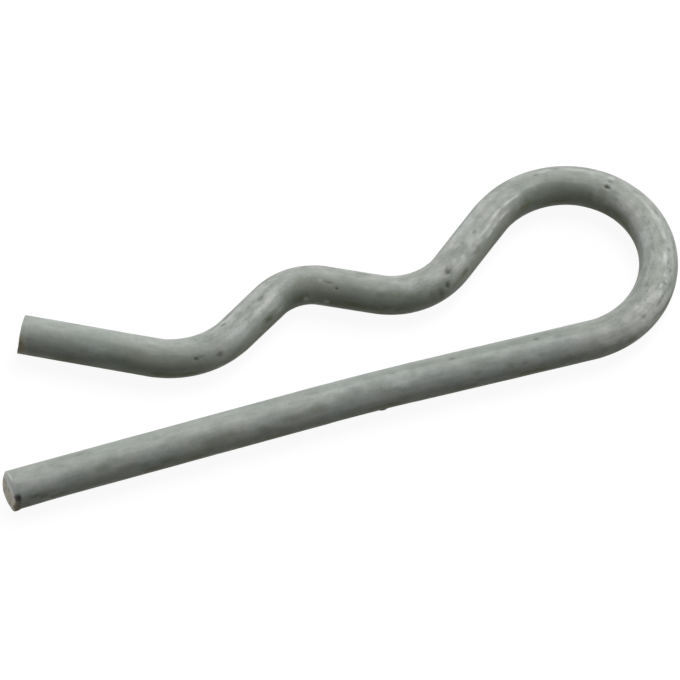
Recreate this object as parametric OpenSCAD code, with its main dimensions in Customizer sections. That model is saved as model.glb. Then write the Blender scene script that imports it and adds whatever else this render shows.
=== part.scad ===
// Hitch R clip pin: one length of round wire, sheared off at both ends and bent in one plane.
// It lies flat on Z = 0. The straight leg starts at its cut end and runs along +X to the loop.
// The wavy leg comes back beside it on the +Y side, and flares away at its own cut end.
// The origin is on the floor, under the middle of the whole outline.

/* [Wire] */
// Diameter of the round wire
wire_d = 4; // [3:0.1:5]
// Amount by which bending draws the wire's radius down, along every bend
bend_draw = 0.02; // [0.01:0.005:0.04]

/* [Straight leg] */
// Length of the true straight, from the cut end
leg_straight_l = 33; // [26:0.5:40]
// Radius of the slight bow that follows the true straight, to the wire's centre
leg_bow_r = 250; // [150:10:400]
// Angle by which the leg bows away from the wavy leg
leg_bow_angle = 2.3; // [1:0.1:4]
// Length of the straight between the bow and the loop
leg_root_l = 18.5; // [14:0.5:24]

/* [Loop] */
// Radius of the loop's eye, to the wire's inner side
loop_inner_r = 7.4; // [6:0.1:9]
// Angle of the loop, from one leg round to the other
loop_angle = 220.7; // [216:0.1:224]
// Length of the straight slope from the loop down to the throat
loop_slope_l = 6.9; // [5:0.1:9]

/* [Throat] */
// Inner radius of the bend that dips towards the straight leg beside the loop
throat_inner_r = 5.3; // [4:0.1:7]
// Angle of that bend
throat_angle = 66.6; // [62:0.1:72]
// Length of the straight slope from the throat up to the hump
throat_slope_l = 5.7; // [4:0.1:8]

/* [Hump] */
// Inner radius of the hump that sits over the hitch pin
hump_inner_r = 3.8; // [2.5:0.1:6]
// Angle of the hump
hump_angle = 58.7; // [54:0.1:63]
// Length of the straight slope from the hump down to the mouth
hump_slope_l = 5.2; // [4:0.1:8]

/* [Mouth] */
// Inner radius of the bend that dips towards the straight leg at the mouth
mouth_inner_r = 6.9; // [5:0.1:9]
// Angle of that bend
mouth_angle = 59.9; // [55:0.1:65]
// Length of the flared tip, from that bend to its cut end
flare_l = 13.5; // [8:0.5:16]

/* [Cut ends] */
// Angle by which the straight leg's cut leans, its +Y side reaching out furthest
leg_cut_angle = 4; // [0:0.5:8]
// Angle by which the flared tip's cut leans in the same way
flare_cut_angle = 0; // [0:0.5:8]
// Radius of the rim that the blade drew in, at the top of each end
rim_r = 0.6; // [0.4:0.05:0.9]
// Height by which that rounding is lifted off the wire, which leaves the lower rim sharp
rim_lift = 0.15; // [0.1:0.01:0.2]

/* [Hidden] */

$fn = 96;
wire_r = wire_d / 2;
bend_wire_r = wire_r - bend_draw;

// The bends in order from the straight leg's cut end. Each row is a straight length, then the
// centre radius and the angle of the bend that follows it, where a positive angle turns left.
BENDS = [
    [leg_straight_l, leg_bow_r, -leg_bow_angle],
    [leg_root_l, loop_inner_r + wire_r, loop_angle],
    [loop_slope_l, throat_inner_r + wire_r, -throat_angle],
    [throat_slope_l, hump_inner_r + wire_r, hump_angle],
    [hump_slope_l, mouth_inner_r + wire_r, -mouth_angle]
];
STRAIGHTS = [for (row = BENDS) row[0], flare_l];
LAST = len(BENDS);

// Unit vectors along a heading, and to the left of it
function ahead(a) = [cos(a), sin(a)];
function left(a) = [-sin(a), cos(a)];

// Heading of each straight, and the places where straights and bends meet
function heading(i) = i == 0 ? 0 : heading(i - 1) + BENDS[i - 1][2];
function offset_to_centre(i) = sign(BENDS[i][2]) * BENDS[i][1];
function bend_centre(i) = straight_end(i) + offset_to_centre(i) * left(heading(i));
function straight_start(i) =
    i == 0 ? [0, 0] : bend_centre(i - 1) - offset_to_centre(i - 1) * left(heading(i));
function straight_end(i) = straight_start(i) + STRAIGHTS[i] * ahead(heading(i));

// Direction from a bend's centre at which its sweep begins, going anticlockwise
function sweep_from(i) = BENDS[i][2] > 0 ? heading(i) - 90 : heading(i + 1) + 90;
function turned_past(i, a) = (a - sweep_from(i)) % 360 + (a < sweep_from(i) ? 360 : 0);
function in_sweep(i, a) = turned_past(i, a) <= abs(BENDS[i][2]);

// Outermost points of the outline: the corners of every straight, and the outer side of a bend
// wherever it faces along X or Y
STRAIGHT_CORNERS = [
    for (i = [0:LAST], end = [straight_start(i), straight_end(i)], side = [-1, 1])
        end + side * wire_r * left(heading(i))
];
BEND_CROWNS = [
    for (i = [0:LAST - 1], a = [-360:90:360])
        if (in_sweep(i, a)) bend_centre(i) + (BENDS[i][1] + bend_wire_r) * ahead(a)
];
OUTLINE = concat(STRAIGHT_CORNERS, BEND_CROWNS);
x_middle = (min([for (p = OUTLINE) p.x]) + max([for (p = OUTLINE) p.x])) / 2;
y_middle = (min([for (p = OUTLINE) p.y]) + max([for (p = OUTLINE) p.y])) / 2;

// Length by which each bend's drawn-down wire reaches into the full wire of its straights
bend_reach_l = wire_d / 40;
// Length of wire at each end that the shear shaped
cut_l = wire_r;
// The rounded envelope of a cut end is wider than the wire by this all round before it is lowered
plug_margin = 2 * rim_lift;

// Straight wire along +X, from x = 0
module wire_run(length) {
    rotate([0, 90, 0])
        cylinder(r = wire_r, h = length);
}

// Round bar along +X that ends at x = 0 with its rim rounded
module rounded_plug() {
    plug_r = wire_r + plug_margin;
    plug_l = 3 * cut_l;
    rotate([0, 90, 0])
        rotate_extrude() {
            translate([0, -plug_l])
                square([plug_r - rim_r, plug_l]);
            translate([0, -plug_l])
                square([plug_r, plug_l - rim_r]);
            translate([plug_r - rim_r, -rim_r])
                intersection() {
                    circle(r = rim_r);
                    square(rim_r);
                }
        }
}

// Sheared end that reaches from x = -cut_l out to x = 0, rounded at the top only
module cut_end(lean_angle) {
    intersection() {
        translate([-cut_l, 0, 0])
            wire_run(cut_l);
        translate([0, -wire_r, 0])
            rotate([0, 0, lean_angle])
                translate([0, wire_r, rim_lift - plug_margin])
                    rounded_plug();
    }
}

module straight(i) {
    start_cut = i == 0 ? cut_l : 0;
    end_cut = i == LAST ? cut_l : 0;
    translate(straight_start(i))
        rotate(heading(i)) {
            translate([start_cut, 0, 0])
                wire_run(STRAIGHTS[i] - start_cut - end_cut);
            if (i == 0)
                rotate(180)
                    cut_end(leg_cut_angle);
            if (i == LAST)
                translate([STRAIGHTS[i], 0, 0])
                    cut_end(flare_cut_angle);
        }
}

module bend(i) {
    reach = bend_reach_l / BENDS[i][1] * 180 / PI;
    translate(bend_centre(i))
        rotate(sweep_from(i) - reach)
            rotate_extrude(angle = abs(BENDS[i][2]) + 2 * reach)
                translate([BENDS[i][1], 0])
                    circle(r = bend_wire_r);
}

module clip_wire() {
    color([0.60, 0.62, 0.60])
        translate([-x_middle, -y_middle, wire_r]) {
            for (i = [0:LAST])
                straight(i);
            for (i = [0:LAST - 1])
                bend(i);
        }
}

clip_wire();
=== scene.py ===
"""Finished look of a hitch R clip pin, with its studio.

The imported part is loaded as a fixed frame. The finished wire is swept along the same bends as the part,
with sheared ends, dents and a weathered zinc skin, and takes the plain wire's place. Lengths are in metres.
"""

import math

import bpy
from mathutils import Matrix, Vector


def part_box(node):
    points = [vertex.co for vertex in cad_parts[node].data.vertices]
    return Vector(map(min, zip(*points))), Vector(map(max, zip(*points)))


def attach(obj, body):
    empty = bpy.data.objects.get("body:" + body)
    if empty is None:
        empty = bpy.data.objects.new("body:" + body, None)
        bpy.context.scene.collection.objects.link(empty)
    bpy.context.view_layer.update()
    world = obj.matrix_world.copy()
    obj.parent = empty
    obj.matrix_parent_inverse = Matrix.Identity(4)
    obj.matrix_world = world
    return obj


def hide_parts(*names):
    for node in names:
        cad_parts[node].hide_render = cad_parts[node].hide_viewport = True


bl_info = {
    "name": "Hitch R Clip Pin",
    "version": (1, 0, 0),
    "blender": (4, 5, 0),
    "location": "3D View > Sidebar > R Clip",
    "description": "Makes the finished wire of a hitch R clip pin, and a studio to look at it in",
    "category": "Add Mesh",
}

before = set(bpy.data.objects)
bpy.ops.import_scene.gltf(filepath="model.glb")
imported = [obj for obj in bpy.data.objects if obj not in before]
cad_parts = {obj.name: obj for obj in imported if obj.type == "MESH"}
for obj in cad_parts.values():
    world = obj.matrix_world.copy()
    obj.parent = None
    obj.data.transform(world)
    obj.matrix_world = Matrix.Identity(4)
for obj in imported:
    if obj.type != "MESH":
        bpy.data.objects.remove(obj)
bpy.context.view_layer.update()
WIRE_LOW, WIRE_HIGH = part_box("clip_wire")

MM = 0.001
WHITE = (1.0, 1.0, 1.0, 1.0)

# The photo: the side it was taken from in degrees, what it shows across in mm, and its width in pixels
PHOTO_AZIMUTH = -17.76
PHOTO_ELEVATION = 58.36
PHOTO_SPAN = 68.86
PHOTO_PIXELS = 680

# Distance between nodes in the node editor
NODE_STEP = 190


# Sizes and colours that a user would change

def millimetres(name, description, size):
    return bpy.props.FloatProperty(name=name, description=description, default=size * MM, unit="LENGTH")


def degrees(name, description, angle):
    return bpy.props.FloatProperty(
        name=name, description=description, default=math.radians(angle), subtype="ANGLE")


def paint(name, description, colour):
    return bpy.props.FloatVectorProperty(
        name=name, description=description, default=colour, subtype="COLOR", size=3, min=0, max=1)


class RCLIP_PG_bends(bpy.types.PropertyGroup):
    """Bend program of the wire, from the straight leg's cut end to the flared tip"""

    leg_straight: millimetres("Leg straight", "True straight at the leg's cut end", 33)
    leg_bow_radius: millimetres("Leg bow radius", "Radius of the slight bow, to the wire's centre", 250)
    leg_bow_angle: degrees("Leg bow angle", "Angle of the bow, away from the wavy leg", 2.3)
    leg_root: millimetres("Leg root", "Straight between the bow and the loop", 18.5)
    loop_inner_radius: millimetres("Loop inner radius", "Radius of the loop's eye", 7.4)
    loop_angle: degrees("Loop angle", "Angle of the loop, from one leg round to the other", 220.7)
    loop_slope: millimetres("Loop slope", "Straight from the loop down to the throat", 6.9)
    throat_inner_radius: millimetres("Throat inner radius", "Inner radius of the dip beside the loop", 5.3)
    throat_angle: degrees("Throat angle", "Angle of the dip beside the loop", 66.6)
    throat_slope: millimetres("Throat slope", "Straight from the throat up to the hump", 5.7)
    hump_inner_radius: millimetres("Hump inner radius", "Inner radius of the hump over the hitch pin", 3.8)
    hump_angle: degrees("Hump angle", "Angle of the hump", 58.7)
    hump_slope: millimetres("Hump slope", "Straight from the hump down to the mouth", 5.2)
    mouth_inner_radius: millimetres("Mouth inner radius", "Inner radius of the dip at the mouth", 6.9)
    mouth_angle: degrees("Mouth angle", "Angle of the dip at the mouth", 59.9)
    flare: millimetres("Flare", "Straight from the mouth to the flared tip's cut end", 13.5)


class RCLIP_PG_wire(bpy.types.PropertyGroup):
    """Section, cut ends and surface relief of the wire"""

    diameter: bpy.props.FloatProperty(
        name="Diameter", description="Diameter of the round wire",
        default=WIRE_HIGH.z - WIRE_LOW.z, unit="LENGTH")
    bend_draw: millimetres("Bend draw", "Amount by which bending draws the wire's radius down", 0.02)
    ring_step: millimetres("Ring step", "Distance between rings of the mesh", 0.17)
    sides: bpy.props.IntProperty(
        name="Sides", description="Number of points in each ring", default=96, min=12)
    rim_radius: millimetres("Rim radius", "Radius that the blade drew in at the top of each end", 0.8)
    rim_lift: millimetres("Rim lift", "Height by which that rounding is lifted off the wire", 0.15)
    leg_cut_angle: degrees("Leg cut angle", "Lean of the straight leg's cut", 4)
    flare_cut_angle: degrees("Flare cut angle", "Lean of the flared tip's cut", 0)
    flare_rim_share: bpy.props.FloatProperty(
        name="Flare rim share", description="How much of the rim's rounding the flared tip's cut has",
        default=0.2, min=0, max=1, subtype="FACTOR")
    cut_dome: millimetres("Cut dome", "Height of the slight dome on each cut face", 0.07)
    leg_burr: millimetres(
        "Leg burr", "Reach of the torn steel at the bottom of the straight leg's cut", 0.36)
    leg_swell: millimetres("Leg swell", "Bulge that the blade left under the straight leg's end", 0.1)
    leg_swell_length: millimetres(
        "Leg swell length", "Distance from the cut over which that bulge dies out", 6)
    flare_burr: millimetres(
        "Flare burr", "Reach of the torn steel at the bottom of the flared tip's cut", 0.25)
    lump_height: millimetres("Lump height", "Height of the zinc coat's lumps", 0.03)
    seed: bpy.props.IntProperty(
        name="Seed", description="Seed of the coat's lumps and ragged edges", default=7)


class RCLIP_PG_finish(bpy.types.PropertyGroup):
    """Colours of the weathered zinc, of the painted shade and highlights on it, and of the bare steel under
    it
    """

    zinc_light: paint("Light zinc", "Lighter grey of the zinc skin", (0.458, 0.492, 0.466))
    zinc_dark: paint("Dark zinc", "Darker grey of the zinc skin", (0.274, 0.306, 0.28))
    warm_tint: paint(
        "Warm tint", "Tint of the warmer patches, and of the zinc that the bending rubbed",
        (1.0, 0.965, 0.955))
    # This olive colour also paints the shade low on the sides of the wire
    grime_and_shade: paint("Grime", "Olive grime that settles low on the wire", (0.197, 0.205, 0.112))
    # This green grey is painted shade on the sides of the bends that turn away from the light, partly real
    # tarnishing
    tarnish_and_shade: paint("Tarnish", "Green grey of the patches that nothing rubs", (0.176, 0.212, 0.16))
    pit: paint("Pit", "Dark bottom of the pits", (0.05, 0.05, 0.043))
    # This light colour also paints highlights where the light falls, besides fresh scuffs
    scuff_and_highlight: paint("Scuff", "Freshly rubbed zinc", (0.62, 0.635, 0.61))
    cut_steel: paint("Cut steel", "Bare steel of the cut faces", (0.50, 0.48, 0.40))
    rust: paint("Rust", "Brown film on the cut faces", (0.20, 0.175, 0.11))


class RCLIP_PG_studio(bpy.types.PropertyGroup):
    """Camera, lamps and floor"""

    azimuth: degrees(
        "Azimuth", "Direction of the camera round the clip, where 0 looks along +Y", PHOTO_AZIMUTH)
    elevation: degrees("Elevation", "Height of the camera above the horizon", PHOTO_ELEVATION)
    aim: bpy.props.FloatVectorProperty(
        name="Aim", description="Point that the picture is centred on",
        default=(0.70 * MM, -1.61 * MM, 2.0 * MM), subtype="XYZ", unit="LENGTH")
    picture_width: millimetres("Picture width", "Width of what the picture shows at the clip", PHOTO_SPAN)
    lens: bpy.props.FloatProperty(
        name="Lens", description="Focal length in millimetres, long enough for a nearly parallel view",
        default=1500)
    floor_size: bpy.props.FloatProperty(
        name="Floor size", description="Side of the square floor",
        default=3.0, unit="LENGTH")


# Nodes

class NodeBuilder:
    """Adds nodes to one tree from left to right, and links what is fed to them."""

    def __init__(self, tree):
        self.tree = tree

    def add(self, kind, feeds=None, **settings):
        """Adds a node, sets it up, and then feeds its inputs, each by its name or number."""
        node = self.tree.nodes.new(kind)
        node.location.x = NODE_STEP * len(self.tree.nodes)
        for name, value in settings.items():
            setattr(node, name, value)
        for key, value in (feeds or {}).items():
            self.feed(node.inputs[key], value)
        return node

    def feed(self, socket, value):
        if isinstance(value, bpy.types.NodeSocket):
            self.tree.links.new(value, socket)
        else:
            socket.default_value = value

    def math(self, operation, *values, clamp=False):
        feeds = dict(enumerate(values))
        return self.add("ShaderNodeMath", feeds, operation=operation, use_clamp=clamp).outputs[0]

    def plus(self, first, second, clamp=False):
        return self.math("ADD", first, second, clamp=clamp)

    def minus(self, first, second, clamp=False):
        return self.math("SUBTRACT", first, second, clamp=clamp)

    def times(self, first, second, clamp=False):
        return self.math("MULTIPLY", first, second, clamp=clamp)

    def higher(self, first, second):
        return self.math("MAXIMUM", first, second)

    def weighed(self, first, first_weight, second, second_weight):
        return self.plus(self.times(first, first_weight), self.times(second, second_weight))

    def turned(self, angle):
        return self.math("COSINE", angle), self.math("SINE", angle)

    def vector(self, operation, *values):
        node = self.add("ShaderNodeVectorMath", dict(enumerate(values)), operation=operation)
        return node.outputs["Value" if operation == "LENGTH" else "Vector"]

    def scaled(self, vector, factor):
        feeds = {0: vector, "Scale": factor}
        return self.add("ShaderNodeVectorMath", feeds, operation="SCALE").outputs["Vector"]

    def xyz(self, x, y, z):
        return self.add("ShaderNodeCombineXYZ", {"X": x, "Y": y, "Z": z}).outputs[0]

    def split(self, vector):
        return self.add("ShaderNodeSeparateXYZ", {"Vector": vector}).outputs

    def ramp(self, value, low, high, to_low=0.0, to_high=1.0, smooth=False):
        node = self.add(
            "ShaderNodeMapRange",
            {"Value": value, "From Min": low, "From Max": high, "To Min": to_low, "To Max": to_high},
            interpolation_type="SMOOTHSTEP" if smooth else "LINEAR")
        return node.outputs["Result"]

    def noise(self, place, scale, detail, roughness, seed):
        node = self.add(
            "ShaderNodeTexNoise",
            {"Vector": place, "W": seed, "Scale": scale, "Detail": detail, "Roughness": roughness},
            noise_dimensions="4D")
        return node.outputs["Fac"]

    def blend(self, share, first, second):
        return self.add("ShaderNodeMix", {0: share, 6: first, 7: second}, data_type="RGBA").outputs[2]

    def blend_value(self, share, first, second):
        return self.add("ShaderNodeMix", {0: share, 2: first, 3: second}, data_type="FLOAT").outputs[0]

    def read(self, name, kind="FLOAT"):
        node = self.add("GeometryNodeInputNamedAttribute", {"Name": name}, data_type=kind)
        return node.outputs["Attribute"]

    def store(self, geometry, name, value, kind="FLOAT"):
        feeds = {"Geometry": geometry, "Name": name, "Value": value}
        return self.add("GeometryNodeStoreNamedAttribute", feeds, data_type=kind).outputs["Geometry"]


def opaque(colour):
    """The colour of a property with an alpha of one."""
    return (*colour, 1.0)


def add_object(name, data):
    made = bpy.data.objects.new(name, data)
    bpy.context.scene.collection.objects.link(made)
    return made


# Bend program

def path_pieces(bends, wire_radius):
    """Length and curvature of each straight and bend in turn, where a positive curvature turns left."""
    rows = [
        (bends.leg_straight, bends.leg_bow_radius, -bends.leg_bow_angle),
        (bends.leg_root, bends.loop_inner_radius + wire_radius, bends.loop_angle),
        (bends.loop_slope, bends.throat_inner_radius + wire_radius, -bends.throat_angle),
        (bends.throat_slope, bends.hump_inner_radius + wire_radius, bends.hump_angle),
        (bends.hump_slope, bends.mouth_inner_radius + wire_radius, -bends.mouth_angle),
    ]
    for straight, radius, angle in rows:
        yield straight, 0.0
        yield radius * abs(angle), math.copysign(1 / radius, angle)
    yield bends.flare, 0.0


def step_ahead(place, heading, curvature, distance):
    """Place and heading after a distance along a straight or an arc."""
    turned = curvature * distance
    chord = distance if curvature == 0 else 2 / curvature * math.sin(turned / 2)
    middle = heading + turned / 2
    return place + chord * Vector((math.cos(middle), math.sin(middle))), heading + turned


def smooth_step(x):
    """Eases from 0 to 1, and holds outside."""
    x = min(max(x, 0.0), 1.0)
    return x * x * (3 - 2 * x)


def body_rings(bends, wire):
    """Rings along the wire from one cut to the other, each a dict of its attributes."""
    # Distance over which a bend's drawing down sets in
    settle = 1.2 * MM
    place, heading, along = Vector((0.0, 0.0)), 0.0, 0.0
    rings = []
    for length, curvature in path_pieces(bends, wire.diameter / 2):
        count = max(1, round(length / wire.ring_step))
        for k in range(count):
            distance = length * k / count
            here, facing = step_ahead(place, heading, curvature, distance)
            bent = smooth_step(min(distance, length - distance) / settle) if curvature else 0.0
            rings.append(ring(here, facing, along + distance, wire, bent, curvature * bent))
        place, heading = step_ahead(place, heading, curvature, length)
        along += length
    rings.append(ring(place, heading, along, wire, 0.0, 0.0))
    mark_worked(rings, wire)
    return rings


def mark_worked(rings, wire):
    """Sets how much the bending tools rubbed each ring, from the bends within their reach."""
    tool_reach = 5 * MM
    full_strain = 0.15
    count = round(tool_reach / wire.ring_step)
    strains = [abs(r["strain"]) for r in rings]
    for i, r in enumerate(rings):
        near = strains[max(0, i - count):i + count + 1]
        r["worked"] = smooth_step(sum(near) / len(near) / full_strain)


def ring(place, heading, along, wire, bent, curvature):
    """Attributes of a ring on the wire's body, where bent runs from 0 on a straight to 1 in a bend."""
    return {
        "place": place,
        "heading": heading,
        "along": along,
        "ring_radius": wire.diameter / 2 - wire.bend_draw * bent,
        "strain": curvature * wire.diameter / 2,
        "worked": 0.0,
        "overrun": 0.0,
        "end_side": 0.0,
        "end_share": 0.0,
        "cut_face": 0.0,
    }


def with_cut_faces(rings):
    """The rings with three closer ones at each edge, and shrinking rings that close each cut face."""
    first, last = rings[0], rings[-1]
    edge_steps = (0.1 * MM, 0.05 * MM, 0.02 * MM)
    inside = [r for r in rings if edge_steps[0] < r["along"] < last["along"] - edge_steps[0]]
    head = end_rings(first, -1, edge_steps)
    tail = end_rings(last, 1, edge_steps)
    rings = head[::-1] + inside + tail

    # The shear shaped only the wire near each cut
    reach = 1.5 * MM
    for r in rings:
        from_start, from_end = r["along"] - first["along"], last["along"] - r["along"]
        r["end_side"] = -1.0 if from_start < from_end else 1.0
        r["end_share"] = smooth_step(1 - min(from_start, from_end) / reach)
    return rings


def end_rings(last, side, edge_steps):
    """Rings from just inside a cut out to the middle of its face."""
    # The path keeps a gap between the rings of a face, which their overrun takes away again
    face_count = 18
    face_gap = 0.1 * MM
    smallest_share = 0.02
    ahead = Vector((math.cos(last["heading"]), math.sin(last["heading"]))) * side
    made = [shifted(last, -inset * ahead, -inset * side) for inset in (*edge_steps, 0.0)]
    for k in range(1, face_count + 1):
        share = max(1 - (k / face_count) ** 2, smallest_share)
        face = shifted(last, k * face_gap * ahead, 0.0)
        face["ring_radius"] = last["ring_radius"] * share
        face["overrun"] = k * face_gap
        face["cut_face"] = 1.0
        made.append(face)
    return made


def shifted(source, offset, along_offset):
    """A copy of a ring, moved in the plan and along the wire."""
    moved = dict(source)
    moved["place"] = source["place"] + offset
    moved["along"] = source["along"] + along_offset
    return moved


def outline_low(rings):
    """Lowest X and Y that the body's rings reach."""
    low = [math.inf, math.inf]
    for r in rings:
        left = Vector((-math.sin(r["heading"]), math.cos(r["heading"])))
        for side in (-1, 1):
            corner = r["place"] + side * r["ring_radius"] * left
            low = [min(a, b) for a, b in zip(low, corner)]
    return Vector(low)


def mesh_of_points(name, points, edges, floats, vectors=None):
    """Object of loose points or a chain of edges, with named attributes on its points."""
    mesh = bpy.data.meshes.new(name)
    mesh.from_pydata(points, edges, [])
    for key, values in floats.items():
        mesh.attributes.new(key, "FLOAT", "POINT").data.foreach_set("value", values)
    for key, values in (vectors or {}).items():
        flat = [x for value in values for x in value]
        mesh.attributes.new(key, "FLOAT_VECTOR", "POINT").data.foreach_set("vector", flat)
    return add_object(name, mesh)


def make_path(bends, wire):
    """The wire's centre line, set over the CAD wire."""
    body = body_rings(bends, wire)
    corner = Vector((WIRE_LOW.x, WIRE_LOW.y)) - outline_low(body)
    height = WIRE_LOW.z + wire.diameter / 2
    rings = with_cut_faces(body)
    points = [(*(r["place"] + corner), height) for r in rings]
    edges = [(i, i + 1) for i in range(len(points) - 1)]
    keys = [k for k in rings[0] if k != "place"]
    return mesh_of_points("wire_path", points, edges, {k: [r[k] for r in rings] for k in keys})


# Marks on the surface, chosen in enlargements of the photo

def wear(pit=0.0, scuff_and_highlight=0.0, grime_and_shade=0.0, rubbed=0.0, steel=0.0, tarnish_and_shade=0.0, depth=0.0, fade=0.5):
    """A kind of mark: shares of wear, painted shade and highlight, depth in mm, and how gradually its edge
    fades out.
    """
    return (pit, scuff_and_highlight, grime_and_shade), (rubbed, steel, tarnish_and_shade), depth * MM, fade


PIT = wear(pit=1.0, depth=0.06)
HOLE = wear(pit=1.25, depth=0.14, fade=0.4)
SPOT = wear(pit=0.55, depth=0.03, fade=0.55)
FAINT = wear(pit=0.25, depth=0.015, fade=0.7)
STAIN = wear(pit=0.12, grime_and_shade=0.3, tarnish_and_shade=0.3, fade=0.7)
# Painted shade in three strengths, green grey, where the bends turn away from the light, partly real
# tarnishing
SHADE = wear(grime_and_shade=0.2, tarnish_and_shade=0.9, fade=0.4)
DIM = wear(grime_and_shade=0.25, tarnish_and_shade=0.5, fade=0.4)
FAINT_SHADE = wear(tarnish_and_shade=0.45)
SMEAR = wear(grime_and_shade=1.0, fade=0.55)
NICK = wear(pit=0.5, depth=0.08)
SCUFF = wear(scuff_and_highlight=0.7, depth=0.02)
# Lighter, glossier zinc in three strengths, and raised ridges: partly rubbed zinc, partly painted highlights
# where the light falls
POLISH_AND_HIGHLIGHT = wear(scuff_and_highlight=0.6, fade=0.7)
SHINE = wear(scuff_and_highlight=0.4, fade=0.7)
SHEEN = wear(scuff_and_highlight=0.27, fade=0.7)
RIDGE = wear(scuff_and_highlight=0.85, depth=-0.02, fade=0.45)
RUB = wear(rubbed=1.0, fade=0.6)
BRUSH = wear(rubbed=0.4, fade=0.6)
BROWN = wear(pit=0.15, grime_and_shade=0.8, steel=1.0, fade=0.3)
# Dark brown mark: partly brown film, partly painted shade
RUST_AND_SHADE = wear(pit=0.6, grime_and_shade=1.0, fade=0.35)
# Olive darkening on the shaded rims: partly dirt, partly painted shade
OLIVE = wear(pit=0.16, grime_and_shade=0.8, tarnish_and_shade=0.4, fade=0.8)
NIB = wear(scuff_and_highlight=0.25, grime_and_shade=0.4, depth=-0.1)
BURR = wear(steel=1.0, depth=-0.1, fade=0.6)

# Marks on the rims of the cuts and low on the leg. Each row is a kind, the distance along the wire and
# the direction round it in degrees, where 90 is up and 0 is to the left of the way from the straight
# leg's cut, and then the mark's length and width.
WIRE_MARKS = [
    # At the bottom of the straight leg's cut, the near-black spot is a pit with the torn steel's shadow
    # painted in, and the dark brown marks beside it are partly brown film, partly painted shade
    (HOLE, -0.1, 154, 0.8, 1),
    (RUST_AND_SHADE, 0, 168, 0.7, 0.8),
    (RUST_AND_SHADE, 0, 184, 0.7, 0.8),
    (RUST_AND_SHADE, 0, 200, 0.6, 0.8),
    (BURR, 0, 212, 1, 1.6),
    (NIB, 39.2, 209, 0.6, 0.6),
    (BROWN, 152.8, 350, 1.7, 4.4),
]
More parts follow.
